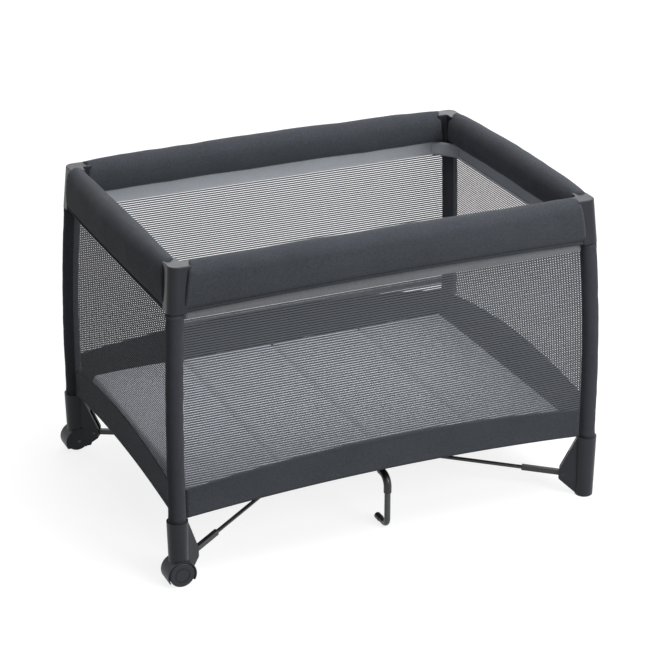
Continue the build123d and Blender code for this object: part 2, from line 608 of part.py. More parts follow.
def rail_cover(along_x, side):
    """A cover over one whole rail: a padded ring, and a skirt below it on the outside."""
    half_width = COVER_THICKNESS / 2 - COVER_CROWN
    skirt_height = COVER_BOTTOM + COVER_ROUND - CAP_BOTTOM
    outer_face = crowned_face(half_width, COVER_BOTTOM, HEIGHT - COVER_CROWN, COVER_CROWN, COVER_ROUND)
    inner_face = crowned_face(
        COVER_THICKNESS / 2 - COVER_WALL,
        COVER_BOTTOM + COVER_WALL,
        HEIGHT - COVER_WALL,
        COVER_LINING_CROWN,
        COVER_ROUND - COVER_WALL,
    )
    if along_x:
        plane = Plane(origin=(0, side * RAIL_Y, 0), x_dir=(0, 1, 0), z_dir=(1, 0, 0))
        out = Vector(0, side, 0)
    else:
        plane = Plane(origin=(side * RAIL_X, 0, 0), x_dir=(1, 0, 0), z_dir=(0, -1, 0))
        out = Vector(side, 0, 0)
    run = Vector(1, 0, 0) if along_x else Vector(0, 1, 0)
    corner_run = POST_X if along_x else POST_Y
    corner_out = POST_Y if along_x else POST_X
    with BuildPart() as cover:
        with BuildSketch(plane):
            add(outer_face)
            add(inner_face, mode=Mode.SUBTRACT)
            with Locations((side * (half_width - SKIRT_THICKNESS / 2), CAP_BOTTOM)):
                Rectangle(SKIRT_THICKNESS, skirt_height, align=(Align.CENTER, Align.MIN))
        extrude(amount=corner_run, both=True)
        for end in (-1, 1):
            points = []
            marks = ((CAP_TOP, CAP_LEG_TOP, 0), (CAP_BOTTOM, CAP_LEG_BOTTOM, 0), (CAP_TOP, CAP_LEG_TOP, 1))
            for z, leg, back in marks:
                edge = SLEEVE_DIAMETER / 2 - post_inset(z)
                along = end * (corner_run + edge - leg - back * CAP_LEG_RAKE - SIDE_PLAY)
                depth = corner_out + edge - back * CAP_LEG_DEPTH
                points.append(run * along + out * depth + Vector(0, 0, z))
            normal = (points[1] - points[0]).cross(points[2] - points[0])
            if normal.dot(run) * end < 0:
                normal = -normal
            split(bisect_by=Plane(origin=points[0], z_dir=normal), keep=Keep.BOTTOM)
    return cover


for name, side in (("front", -1), ("back", 1)):
    save(rail_cover(True, side), f"rail_cover_{name}")
for name, side in (("left", -1), ("right", 1)):
    save(rail_cover(False, side), f"rail_cover_{name}")


# Walls: mesh with a binding above it and a fabric band below, all following the posts' bow
def wall_piece(along_x, side, low_at_post, low_at_middle, high_at_post, high_at_middle, thickness):
    """A thin piece of one wall, between two arched edges and the sleeves at its ends."""
    run = POST_X if along_x else POST_Y
    depth = POST_Y if along_x else POST_X
    reach = run - SLEEVE_DIAMETER / 2 - SEAT_GAP
    if along_x:
        profile_plane = Plane(origin=(0, 0, 0), x_dir=(0, side, 0), z_dir=(side, 0, 0))
        outline_plane = Plane(origin=(0, side * depth, 0), x_dir=(1, 0, 0), z_dir=(0, -1, 0))
    else:
        profile_plane = Plane(origin=(0, 0, 0), x_dir=(side, 0, 0), z_dir=(0, -side, 0))
        outline_plane = Plane(origin=(side * depth, 0, 0), x_dir=(0, 1, 0), z_dir=(1, 0, 0))
    bow_middle = (BOW_START + CAP_BOTTOM) / 2
    top = CAP_BOTTOM
    with BuildPart() as piece:
        with BuildSketch(profile_plane):
            with BuildLine():
                for face in (-1, 1):
                    shift = depth + face * thickness / 2
                    Line((shift, 0), (shift, BOW_START))
                    ThreePointArc(
                        (shift, BOW_START),
                        (shift - post_inset(bow_middle), bow_middle),
                        (shift - post_inset(top), top),
                    )
                Line((depth - thickness / 2, 0), (depth + thickness / 2, 0))
                Line(
                    (depth - thickness / 2 - post_inset(top), top),
                    (depth + thickness / 2 - post_inset(top), top),
                )
            make_face()
        extrude(amount=run, both=True)
        with BuildSketch(outline_plane):
            with BuildLine():
                for end in (-1, 1):
                    if high_at_post > BOW_START:
                        Line((end * reach, low_at_post), (end * reach, BOW_START))
                        middle_z = (BOW_START + high_at_post) / 2
                        ThreePointArc(
                            (end * reach, BOW_START),
                            (end * (reach - post_inset(middle_z)), middle_z),
                            (end * (reach - post_inset(high_at_post)), high_at_post),
                        )
                    else:
                        Line((end * reach, low_at_post), (end * reach, high_at_post))
                ThreePointArc((-reach, low_at_post), (0, low_at_middle), (reach, low_at_post))
                high_reach = reach - post_inset(high_at_post)
                if high_at_middle == high_at_post:
                    Line((-high_reach, high_at_post), (high_reach, high_at_post))
                else:
                    ThreePointArc(
                        (-high_reach, high_at_post),
                        (0, high_at_middle),
                        (high_reach, high_at_post),
                    )
            make_face()
        extrude(amount=POST_SPLAY + SLEEVE_DIAMETER, both=True, mode=Mode.INTERSECT)
    return piece


def binding_strip(along_x, side):
    """The straight binding from the mesh up to the rail cover, stepped in between the caps."""
    run = POST_X if along_x else POST_Y
    line = (POST_Y if along_x else POST_X) - post_inset(BINDING_STEP)
    reach_low = run - SLEEVE_DIAMETER / 2 - SEAT_GAP - post_inset(BINDING_BOTTOM)
    reach_high = run - SLEEVE_DIAMETER / 2 - SEAT_GAP - post_inset(BINDING_STEP)
    cap_reach = run + SLEEVE_DIAMETER / 2 - POST_SPLAY - CAP_LEG_TOP - CAP_LEG_RAKE - SIDE_PLAY
    if along_x:
        plane = Plane(origin=(0, side * line, 0), x_dir=(1, 0, 0), z_dir=(0, -1, 0))
    else:
        plane = Plane(origin=(side * line, 0, 0), x_dir=(0, 1, 0), z_dir=(1, 0, 0))
    with BuildPart() as strip:
        with BuildSketch(plane):
            with BuildLine():
                Polyline(
                    [
                        (-reach_low, BINDING_BOTTOM),
                        (reach_low, BINDING_BOTTOM),
                        (reach_high, BINDING_STEP),
                        (cap_reach, BINDING_STEP),
                        (cap_reach, BINDING_TOP),
                        (-cap_reach, BINDING_TOP),
                        (-cap_reach, BINDING_STEP),
                        (-reach_high, BINDING_STEP),
                    ],
                    close=True,
                )
            make_face()
        extrude(amount=BINDING_THICKNESS / 2, both=True)
    return strip


for name, along_x, side in (("front", True, -1), ("back", True, 1), ("left", False, -1), ("right", False, 1)):
    band_at_post = BAND_HIGH_AT_POST + BAND_RISE[name]
    band_at_middle = BAND_HIGH_AT_MIDDLE + BAND_RISE[name]
    mesh = wall_piece(
        along_x,
        side,
        band_at_post + SEAT_GAP,
        band_at_middle + SEAT_GAP,
        BINDING_BOTTOM - SEAT_GAP,
        BINDING_BOTTOM - SEAT_GAP,
        CLOTH,
    )
    with BuildPart() as mesh_panel:
        add(mesh.part)
        add(binding_strip(along_x, side).part)
    save(mesh_panel, f"mesh_panel_{name}")
    band = wall_piece(
        along_x,
        side,
        BAND_LOW_AT_POST,
        BAND_LOW_AT_MIDDLE,
        band_at_post,
        band_at_middle,
        CLOTH,
    )
    save(band, f"lower_band_{name}")

# Fabric floor, notched round the post sleeves
with BuildPart() as floor_fabric:
    with BuildSketch(Plane.XY.offset(FLOOR_BOTTOM)):
        Rectangle(FLOOR_LENGTH, FLOOR_WIDTH)
        with GridLocations(2 * POST_X, 2 * POST_Y, 2, 2):
            Circle(SLEEVE_DIAMETER / 2 + SEAT_GAP, mode=Mode.SUBTRACT)
    extrude(amount=FLOOR_THICKNESS)
save(floor_fabric, "floor_fabric")


# Mat: four padded panels side by side, each crowned, thinner along its creases
def mat_section(x, half_width, thickness):
    """A flat-bottomed crowned section across the mat at one place along it."""
    side_z = MAT_BOTTOM + MAT_SIDE_HEIGHT
    foot_y = half_width - MAT_SIDE_BULGE
    with BuildSketch(Plane(origin=(x, 0, 0), x_dir=(0, 1, 0), z_dir=(1, 0, 0))) as section:
        with BuildLine():
            Line((-foot_y, MAT_BOTTOM), (foot_y, MAT_BOTTOM))
            ThreePointArc(
                (foot_y, MAT_BOTTOM),
                (half_width, (MAT_BOTTOM + side_z) / 2),
                (foot_y, side_z),
            )
            ThreePointArc((foot_y, side_z), (0, MAT_BOTTOM + thickness), (-foot_y, side_z))
            ThreePointArc(
                (-foot_y, side_z),
                (-half_width, (MAT_BOTTOM + side_z) / 2),
                (-foot_y, MAT_BOTTOM),
            )
        make_face()
    return section.sketch


for index in range(MAT_PANELS):
    start = -MAT_LENGTH / 2 + index * PANEL_LENGTH + MAT_CREASE_GAP / 2
    end = start + PANEL_LENGTH - MAT_CREASE_GAP
    first = index == 0
    last = index == MAT_PANELS - 1
    half = MAT_WIDTH / 2
    sections = [
        mat_section(start, half - first * MAT_CORNER_DRAW, MAT_EDGE_THICKNESS),
        mat_section(start + MAT_SHOULDER, half - first * MAT_SHOULDER_DRAW, MAT_SHOULDER_THICKNESS),
        mat_section((start + end) / 2, half, MAT_THICKNESS),
        mat_section(end - MAT_SHOULDER, half - last * MAT_SHOULDER_DRAW, MAT_SHOULDER_THICKNESS),
        mat_section(end, half - last * MAT_CORNER_DRAW, MAT_EDGE_THICKNESS),
    ]
    with BuildPart() as mat_panel:
        loft(sections, ruled=True)
    save(mat_panel, f"mat_panel_{index + 1}")
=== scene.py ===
"""Looks of a folding playpen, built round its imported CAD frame.

Metres. +Z is up, +X to the right and -Y to the front, as in the frame.
"""
import math
from collections import namedtuple

import bpy
import numpy as np
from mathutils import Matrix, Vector, noise


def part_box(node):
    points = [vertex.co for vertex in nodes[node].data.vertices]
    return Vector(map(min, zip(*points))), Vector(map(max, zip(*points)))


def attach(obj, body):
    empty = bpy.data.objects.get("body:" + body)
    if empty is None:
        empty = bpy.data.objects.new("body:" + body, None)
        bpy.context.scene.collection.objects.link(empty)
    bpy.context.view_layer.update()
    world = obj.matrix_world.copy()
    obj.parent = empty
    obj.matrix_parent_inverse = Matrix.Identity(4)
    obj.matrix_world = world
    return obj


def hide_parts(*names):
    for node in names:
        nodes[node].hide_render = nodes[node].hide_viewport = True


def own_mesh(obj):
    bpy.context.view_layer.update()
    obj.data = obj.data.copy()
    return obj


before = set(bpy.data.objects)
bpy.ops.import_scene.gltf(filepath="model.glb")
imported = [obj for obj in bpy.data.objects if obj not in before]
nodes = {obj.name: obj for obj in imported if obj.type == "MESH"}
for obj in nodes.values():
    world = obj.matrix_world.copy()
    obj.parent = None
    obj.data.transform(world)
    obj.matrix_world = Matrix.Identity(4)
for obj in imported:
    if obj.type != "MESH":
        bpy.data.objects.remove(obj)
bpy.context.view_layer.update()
UP = Vector((0, 0, 1))

# Camera of the photograph
CAMERA_PLACE = (-1.9142, -4.3066, 2.4360)
CAMERA_TARGET = (0.0128, 0.0, 0.3617)
CAMERA_LENS = 121.42
SENSOR_WIDTH = 36.0

# Sizes shared with the frame
POST_X = 0.502
POST_Y = 0.352
POST_SPLAY = 0.022
BOW_START = 0.250
SLEEVE_RADIUS = 0.020
SLEEVE_BORE = 0.0146
SLEEVE_BOTTOM = 0.1513
SLEEVE_TOP = 0.6254
RAIL_OUTSET = 0.005
RAIL_X = POST_X - POST_SPLAY + RAIL_OUTSET
RAIL_Y = POST_Y - POST_SPLAY + RAIL_OUTSET
CAP_TOP = 0.729
CAP_BOTTOM = 0.628
CAP_LEG_TOP = 0.050
CAP_LEG_BOTTOM = 0.040
CAP_LEG_DEPTH = 0.034
CAP_LEG_RAKE = 0.009

# How far each post moves in towards the hub when the pen is folded
FOLD_IN_X = 0.3349
FOLD_IN_Y = 0.2275
LONG_BELLY = 0.078
SHORT_BELLY = 0.066

# Rail covers: a padded ring with a skirt on its outer side; ripples are (depth, size, seed)
COVER_LOW = 0.6582
COVER_HIGH = 0.7345
COVER_HALF = 0.0222
COVER_SWELL = 0.0014
COVER_TOP_ROUND = 0.032
COVER_TOP_FULL = 0.9
COVER_LOW_WIDE = 0.0145
COVER_LOW_TALL = 0.0443
COVER_LAP = 0.007
SKIRT_LOW = 0.6285
SKIRT_OUT = 0.0214
SKIRT_THICK = 0.0042
SKIRT_TUCK = 0.0006
SKIRT_RISE = 0.0135
HEM_HEIGHT = 0.0098
HEM_GROOVE = ((0.0, 0.0), (0.0033, -0.0008), (0.0033, -0.0034), (0.0003, -0.0042))
HEM_EDGE = ((0.0, 0.0045), (0.0024, 0.0032), (0.0003, 0.0018), (0.0014, 0.0))
COVER_BOW_OUT = 0.012
COVER_BOW_UP = 0.004
COVER_STEPS = 36
LOW_ROUND_POINTS = 12
TOP_ROUND_POINTS = 19
SIDE_POINTS = 11
COLLAR_LENGTH = 0.095
COLLAR_STEPS = 14
GATHER_LENGTH = 0.055
GATHER_PINCH = 0.0010
PLEAT_DEPTH = 0.0005
PLEAT_TURNS = Vector((420, 260, 90))
PAD_RIPPLES = ((0.0022, 0.13, 3), (0.0009, 0.04, 7))
PAD_SOFT_RISE = 0.02
PAD_SWELL_OUT = 1.6
COVER_FOLD_HEIGHT = 0.695

# Walls
LONG_COLUMNS = 48
SHORT_COLUMNS = 36
BINDING_LOW = {"front": 0.6085, "back": 0.6225, "left": 0.6225, "right": 0.6225}
BINDING_STEP = 0.6275
BINDING_HIGH = 0.6565
BINDING_STEP_HALF = 0.005
BINDING_LOW_LEVELS = (0.0, 0.06, 0.12)
BINDING_HIGH_LEVELS = (0.5, 0.6, 0.7, 0.8, 0.9, 1.0)
BINDING_THICK = 0.0028
BINDING_SHORT = 0.0616
TAPE_BEND = 0.022
TAPE_LAP = 0.004
TAPE_STEPS = 16
TAPE_ROWS = 6
BAND_LOW_AT_POST = 0.1525
BAND_LOW_AT_MIDDLE = 0.172
BAND_HIGH_AT_POST = 0.220
BAND_HIGH_AT_MIDDLE = 0.251
BAND_RISE = {"front": 0.0, "back": 0.028, "left": 0.0, "right": 0.020}
BAND_THICK = 0.0018
BAND_ROWS = 15
BINDING_SEED = 5
BAND_SEED = 11
SLACK_POWER = 6
HEM_THICKER = 1.7
HEM_SHARES = (0.13, 0.93)
WALL_WAVE = 0.0016
WALL_WAVE_SIZE = 0.12
NET_ROW = 0.0056
NET_CELL = 0.0062
NET_THREAD = 0.0038
NET_BAR = 0.0005
NET_TUCK = 0.007
NET_SEGMENTS = 24
WALL_GAP = 0.0003

# Sleeves
SLEEVE_CREASES = ((0.0006, 0.03, 21), (0.0004, 0.011, 23))
SLEEVE_EASE = 0.0012
SLEEVE_END = 0.03
SLEEVE_HEM = 0.0006
SLEEVE_HEM_HEIGHT = 0.012
WELT_HEIGHT = 0.0012
WELT_SPREAD = 0.02
SLEEVE_AROUND = 48
SLEEVE_RINGS = 61
LINING_RINGS = 13

# Floor fabric and mat
FLOOR_Z = 0.175
FLOOR_HALF_X = 0.5005
FLOOR_HALF_Y = 0.3505
FLOOR_WEDGES = 20
FLOOR_RINGS = 10
FLOOR_FAN = 8
FLOOR_RIPPLES = ((0.0006, 0.09, 31),)
FLOOR_MIDDLE = 0.002
FLOOR_POST_ROOM = 0.001
MAT_EDGE = 0.011
MAT_CORNER = 0.034
MAT_CLEAR = 0.0002
MAT_HEADROOM = 0.001
MAT_ROLL = 0.016
MAT_CROWN = 0.25
MAT_LONG_STEPS = 40
MAT_WIDE_STEPS = 88
MAT_DIMPLES = ((0.0012, 0.07, 41), (0.0006, 0.025, 43))
CREASE_FULL = 0.45
CREASE_ROLL = 0.02
MAT_TABS = (-0.235, 0.0, 0.235)
TAB_WIDTH = 0.010
TAB_THICK = 0.0014
TAB_PATH = ((-0.012, 0.0028), (-0.008, 0.0032), (-0.002, 0.0022), (0.0008, -0.004), (0.0004, -0.010))
TAB_TURN = -0.001
TAB_IN = 0.002
TAB_DOWN = 0.010

CORNERS = {
    "front_left": (-1, -1, "post_fl"),
    "front_right": (1, -1, "post_fr"),
    "back_right": (1, 1, "post_br"),
    "back_left": (-1, 1, "post_bl"),
}


def post_inset(z):
    """How far the post's centre line has moved in, along X and along Y alike, at height z."""
    rise = CAP_TOP - BOW_START
    depth = POST_SPLAY * math.sqrt(2)
    radius = (rise**2 + depth**2) / (2 * depth)
    climb = max(0.0, z - BOW_START)
    return (radius - math.sqrt(radius**2 - climb**2)) / math.sqrt(2)


# Materials; noises are (scale, detail), bumps (strength, depth), tones the darkest and lightest share
YARN_NOISE = (900.0, 2.0)
SLUB_NOISE = (260.0, 3.0)
DRIFT_NOISE = (9.0, 4.0)
YARN_SHARE = 0.3
SLUB_SHARE = 0.5
DRIFT_SHARE = 0.2
WEAVE_SHARE = 0.08
YARN_HEIGHT = 0.8
STITCH_TURNS = 2 * math.pi / 0.004
STITCH_HALF = 0.0005
STITCH_INSET = 0.0022
STITCH_GAP = -0.5
STITCH_DARK = 0.5
STITCH_DEPTH = 2.0
CLOTH_BUMP = (0.35, 0.0004)
CLOTH_ROUGHNESS = 0.85
CLOTH_SHEEN = 0.1
CLOTH_SHEEN_ROUGHNESS = 0.45
CLOTH_SPECULAR = 0.1
PLASTIC_GRAIN = (650.0, 3.0)
PLASTIC_DRIFT = (16.0, 4.0)
PLASTIC_TONES = (0.9, 1.12)
PLASTIC_SPREAD = (0.25, 0.75)
PLASTIC_GLOSS_DRIFT = 0.16
PLASTIC_BUMP = (0.12, 0.0003)
PLASTIC_SPECULAR = 0.22
PEEL_SCALE = 90.0
PEEL_DETAIL = 2.0
METAL_TONES = (0.92, 1.1)
METAL_GLOSS_DRIFT = 0.14
METAL_BUMP = (0.06, 0.0004)
NOISE_ROUGHNESS = 0.55
ELBOW_LOW = 0.092
TIP_OUT = 0.2842


def new_material(name):
    """A node material with its shader, ready for more nodes."""
    material = bpy.data.materials.new(name)
    material.use_nodes = True
    tree = material.node_tree
    return material, tree, tree.nodes["Principled BSDF"]


def math_node(tree, operation, *inputs):
    """A math node; each input is a number or a socket."""
    node = tree.nodes.new("ShaderNodeMath")
    node.operation = operation
    for socket, value in zip(node.inputs, inputs):
        if isinstance(value, (int, float)):
            socket.default_value = value
        else:
            tree.links.new(value, socket)
    return node.outputs[0]


def noise_node(tree, place, scale, detail):
    """A noise texture read at a place."""
    node = tree.nodes.new("ShaderNodeTexNoise")
    node.inputs["Scale"].default_value = scale
    node.inputs["Detail"].default_value = detail
    node.inputs["Roughness"].default_value = NOISE_ROUGHNESS
    tree.links.new(place, node.inputs["Vector"])
    return node.outputs["Fac"]


def ramp_node(tree, value, low_colour, high_colour, low=0.3, high=0.7):
    """Two colours spread over a value."""
    node = tree.nodes.new("ShaderNodeValToRGB")
    node.color_ramp.elements[0].position = low
    node.color_ramp.elements[1].position = high
    node.color_ramp.elements[0].color = (*low_colour, 1)
    node.color_ramp.elements[1].color = (*high_colour, 1)
    tree.links.new(value, node.inputs["Fac"])
    return node.outputs["Color"]


def bump_node(tree, height, strength, distance):
    """A bump from a height."""
    node = tree.nodes.new("ShaderNodeBump")
    node.inputs["Strength"].default_value = strength
    node.inputs["Distance"].default_value = distance
    tree.links.new(height, node.inputs["Height"])
    return node.outputs["Normal"]


def rest_place(tree):
    """The place on the object at rest."""
    return tree.nodes.new("ShaderNodeTexCoord").outputs["Object"]


def shade(colour, factor):
    """A colour made lighter or darker."""
    return tuple(min(1.0, c * factor) for c in colour)


def fabric(name, colour, period, melange, flat=False, stitches=()):
    """Woven cloth: warp and weft at a real period, a melange of yarns, and rows of stitches at heights."""
    material, tree, shader = new_material(name)
    place = rest_place(tree)
    split = tree.nodes.new("ShaderNodeSeparateXYZ")
    tree.links.new(place, split.inputs[0])
    x, y, z = split.outputs
    turns = 2 * math.pi / period
    if flat:
        warp, weft = x, y
    else:
        warp, weft = math_node(tree, "ADD", x, y), z
    warp_wave = math_node(tree, "SINE", math_node(tree, "MULTIPLY", warp, turns))
    weft_wave = math_node(tree, "SINE", math_node(tree, "MULTIPLY", weft, turns))
    weave = math_node(tree, "MULTIPLY", warp_wave, weft_wave)
    yarn = noise_node(tree, place, *YARN_NOISE)
    drift = noise_node(tree, place, *DRIFT_NOISE)
    slub = noise_node(tree, place, *SLUB_NOISE)
    yarn_part = math_node(tree, "MULTIPLY", yarn, YARN_SHARE)
    slub_part = math_node(tree, "MULTIPLY", slub, SLUB_SHARE)
    drift_part = math_node(tree, "MULTIPLY", drift, DRIFT_SHARE)
    mixed = math_node(tree, "ADD", math_node(tree, "ADD", yarn_part, slub_part), drift_part)
    lit = math_node(tree, "ADD", mixed, math_node(tree, "MULTIPLY", weave, WEAVE_SHARE))
    height = math_node(tree, "ADD", weave, math_node(tree, "MULTIPLY", yarn, YARN_HEIGHT))
    stitch_wave = math_node(tree, "SINE", math_node(tree, "MULTIPLY", warp, STITCH_TURNS))
    dash = math_node(tree, "GREATER_THAN", stitch_wave, STITCH_GAP)
    for level in stitches:
        near = math_node(tree, "COMPARE", z, level, STITCH_HALF)
        thread = math_node(tree, "MULTIPLY", near, dash)
        lit = math_node(tree, "SUBTRACT", lit, math_node(tree, "MULTIPLY", thread, STITCH_DARK))
        height = math_node(tree, "SUBTRACT", height, math_node(tree, "MULTIPLY", near, STITCH_DEPTH))
    tone = ramp_node(tree, lit, shade(colour, 1 - melange), shade(colour, 1 + melange))
    tree.links.new(tone, shader.inputs["Base Color"])
    tree.links.new(bump_node(tree, height, *CLOTH_BUMP), shader.inputs["Normal"])
    shader.inputs["Roughness"].default_value = CLOTH_ROUGHNESS
    shader.inputs["Sheen Weight"].default_value = CLOTH_SHEEN
    shader.inputs["Sheen Roughness"].default_value = CLOTH_SHEEN_ROUGHNESS
    shader.inputs["Specular IOR Level"].default_value = CLOTH_SPECULAR
    return material


def plastic(name, colour, roughness):
    """Moulded plastic: a fine spark-eroded grain, a slow drift in gloss and paler rubbed spots."""
    material, tree, shader = new_material(name)
    place = rest_place(tree)
    grain_height = noise_node(tree, place, *PLASTIC_GRAIN)
    drift = noise_node(tree, place, *PLASTIC_DRIFT)
    darkest, lightest = PLASTIC_TONES
    tone = ramp_node(tree, drift, shade(colour, darkest), shade(colour, lightest), *PLASTIC_SPREAD)
    tree.links.new(tone, shader.inputs["Base Color"])
    change = math_node(tree, "MULTIPLY", drift, PLASTIC_GLOSS_DRIFT)
    gloss = math_node(tree, "ADD", change, roughness - PLASTIC_GLOSS_DRIFT / 2)
    tree.links.new(gloss, shader.inputs["Roughness"])
    tree.links.new(bump_node(tree, grain_height, *PLASTIC_BUMP), shader.inputs["Normal"])
    shader.inputs["Specular IOR Level"].default_value = PLASTIC_SPECULAR
    return material


def metal(name, colour, roughness, metallic, scale=PEEL_SCALE):
    """Metal, bare or painted, with a slight orange peel and a drift in gloss."""
    material, tree, shader = new_material(name)
    place = rest_place(tree)
    peel = noise_node(tree, place, scale, PEEL_DETAIL)
    darkest, lightest = METAL_TONES
    tone = ramp_node(tree, peel, shade(colour, darkest), shade(colour, lightest))
    tree.links.new(tone, shader.inputs["Base Color"])
    change = math_node(tree, "MULTIPLY", peel, METAL_GLOSS_DRIFT)
    gloss = math_node(tree, "ADD", change, roughness - METAL_GLOSS_DRIFT / 2)
    tree.links.new(gloss, shader.inputs["Roughness"])
    tree.links.new(bump_node(tree, peel, *METAL_BUMP), shader.inputs["Normal"])
    shader.inputs["Metallic"].default_value = metallic
    return material


def painted_leg(name, colour, black, roughness):
    """Painted tube with a black moulded elbow at its top and a black tip on its hook."""
    material = metal(name, colour, roughness, 0.0)
    tree = material.node_tree
    shader = tree.nodes["Principled BSDF"]
    split = tree.nodes.new("ShaderNodeSeparateXYZ")
    tree.links.new(rest_place(tree), split.inputs[0])
    _, y, z = split.outputs
    elbow = math_node(tree, "GREATER_THAN", z, ELBOW_LOW)
    tip = math_node(tree, "LESS_THAN", math_node(tree, "ABSOLUTE", y), TIP_OUT)
    mix = tree.nodes.new("ShaderNodeMix")
    mix.data_type = "RGBA"
    tone = shader.inputs["Base Color"].links[0].from_socket
    tree.links.new(math_node(tree, "MAXIMUM", elbow, tip), mix.inputs["Factor"])
    tree.links.new(tone, mix.inputs["A"])
    mix.inputs["B"].default_value = (*black, 1)
    tree.links.new(mix.outputs["Result"], shader.inputs["Base Color"])
    return material


BINDING_STITCHES = tuple(low + STITCH_INSET for low in sorted(set(BINDING_LOW.values())))
MATERIALS = {
    "rail": fabric("rail_cloth", (0.058, 0.0635, 0.074), 0.0011, melange=0.34),
    "band": fabric("band_cloth", (0.059, 0.065, 0.076), 0.0012, melange=0.3),
    "sleeve": fabric("sleeve_cloth", (0.052, 0.055, 0.065), 0.0012, melange=0.18),
    # The binding is one light grey tape in two colours: its inner side and corner turns are painted lighter
    # for light shining through the thin tape, and its outer side (the facing) is painted darker for the
    # shade under the rail cover's skirt.
    "binding": fabric("binding_tape_painted_backlight", (0.435, 0.455, 0.49), 0.0016, melange=0.1, stitches=BINDING_STITCHES),
    "facing": fabric("binding_facing", (0.225, 0.235, 0.25), 0.0016, melange=0.2),
    # The lining is the band cloth painted much darker on the band's inner side: painted shade for the shade
    # the rails cast inside the pen.
    "lining": fabric("band_lining", (0.027, 0.029, 0.034), 0.0012, melange=0.2),
    "net": fabric("net_yarn", (0.130, 0.139, 0.155), 0.0008, melange=0.15),
    "floor": fabric("floor_cloth", (0.05, 0.054, 0.06), 0.0013, melange=0.15, flat=True),
    "mat": fabric("mat_cloth", (0.675, 0.70, 0.745), 0.0018, melange=0.08, flat=True),
    "webbing": fabric("webbing", (0.05, 0.051, 0.054), 0.0015, melange=0.15),
    "cap": plastic("cap_plastic", (0.0255, 0.027, 0.034), 0.33),
    "foot": plastic("foot_plastic", (0.028, 0.030, 0.037), 0.38),
    "wheel": plastic("wheel_plastic", (0.036, 0.038, 0.044), 0.42),
    "hub": plastic("hub_plastic", (0.026, 0.027, 0.030), 0.5),
    "lock": plastic("lock_plastic", (0.030, 0.031, 0.034), 0.45),
    "tube": metal("tube_paint", (0.026, 0.027, 0.030), 0.38, 0.0),
    "rod": metal("rod_paint", (0.030, 0.032, 0.036), 0.36, 0.0),
    "leg": painted_leg("leg_paint", (0.050, 0.054, 0.060), (0.008, 0.008, 0.009), 0.36),
    "steel": metal("pin_steel", (0.05, 0.05, 0.054), 0.42, 1.0, 300.0),
}
NODE_MATERIALS = {
    "post_tube": "tube",
    "rail_tube": "tube",
    "corner_cap": "cap",
    "corner_pins": "steel",
    "hub_pins": "steel",
    "foot": "foot",
    "wheel": "wheel",
    "rail_lock": "lock",
    "rod": "rod",
    "centre_leg": "leg",
    "hub": "hub",
}
for node_name, node in nodes.items():
    kind = next((k for k in NODE_MATERIALS if node_name.startswith(k)), None)
    if kind:
        node.data.materials.clear()
        node.data.materials.append(MATERIALS[NODE_MATERIALS[kind]])


# Mesh helpers
def make_piece(name, points, faces, material, smooth=True, facing=None, facing_count=0):
    """A mesh object in the row frame; its first faces may have a facing of their own."""
    mesh = bpy.data.meshes.new(name)
    mesh.from_pydata([tuple(p) for p in points], [], [tuple(f) for f in faces])
    mesh.update()
    mesh.materials.append(MATERIALS[material])
    if facing:
        mesh.materials.append(MATERIALS[facing])
        for polygon in mesh.polygons[:facing_count]:
            polygon.material_index = 1
    if smooth:
        mesh.polygons.foreach_set("use_smooth", [True] * len(mesh.polygons))
    piece = bpy.data.objects.new(name, mesh)
    bpy.context.scene.collection.objects.link(piece)
    return piece


def grid_faces(rows, columns, closed=False, start=0):
    """Quads of a grid of points stored row by row; closed joins the last column to the first."""
    faces = []
    for row in range(rows - 1):
        for column in range(columns if closed else columns - 1):
            following = (column + 1) % columns
            low = start + row * columns
            high = low + columns
            faces.append((low + column, low + following, high + following, high + column))
    return faces


def flipped(faces):
    """Faces that look the other way."""
    return [tuple(reversed(face)) for face in faces]


def grid_rim(rows, columns):
    """The border of a grid of points: its first row, last column, last row and first column."""
    last = columns - 1
    rim = list(range(columns))
    rim += [row * columns + last for row in range(1, rows)]
    rim += [(rows - 1) * columns + column for column in range(last - 1, -1, -1)]
    rim += [row * columns for row in range(rows - 2, 0, -1)]
    return rim


def shell_faces(rows, columns):
    """Faces of two grids of points, one after the other, closed round their rims."""
    count = rows * columns
    faces = grid_faces(rows, columns) + flipped(grid_faces(rows, columns, start=count))
    rim = grid_rim(rows, columns)
    for a, b in zip(rim, rim[1:] + rim[:1]):
        faces.append((b, a, a + count, b + count))
    return faces


SEED_STEP = (1.0, 2.3, -1.7)


def ripple(place, size, seed):
    """Smooth noise from -1 to 1 at a place."""
    return noise.noise(Vector(place) / size + Vector([step * seed for step in SEED_STEP]))


def ripples(place, layers, shift=0):
    """Layers of smooth noise, each given by its depth, size and seed."""
    return sum(depth * ripple(place, size, seed + shift) for depth, size, seed in layers)


Wall = namedtuple("Wall", "name along out run line rail fold_in belly columns halves")


def make_wall(name, along_x, side, posts, ends):
    """A wall: directions along it and out of it, where its post line and rail lie, and its two halves."""
    along = Vector((1, 0, 0)) if along_x else Vector((0, 1, 0))
    out = Vector((0, side, 0)) if along_x else Vector((side, 0, 0))
    return Wall(
        name=name,
        along=along,
        out=out,
        run=POST_X if along_x else POST_Y,
        line=POST_Y if along_x else POST_X,
        rail=RAIL_Y if along_x else RAIL_X,
        fold_in=FOLD_IN_X if along_x else FOLD_IN_Y,
        belly=LONG_BELLY if along_x else SHORT_BELLY,
        columns=LONG_COLUMNS if along_x else SHORT_COLUMNS,
        halves=((-1, posts[0], ends[0], "a"), (1, posts[1], ends[1], "b")),
    )


WALLS = (
    make_wall("front", True, -1, ("post_fl", "post_fr"), ("left", "right")),
    make_wall("back", True, 1, ("post_bl", "post_br"), ("left", "right")),
    make_wall("left", False, -1, ("post_fl", "post_bl"), ("front", "back")),
    make_wall("right", False, 1, ("post_fr", "post_br"), ("front", "back")),
)


def outward(faces, wall, hand):
    """Faces of a wall's half, turned to look out of the pen on either hand."""
    to_the_right = wall.along.cross(UP).dot(wall.out) > 0
    return faces if (hand > 0) == to_the_right else flipped(faces)


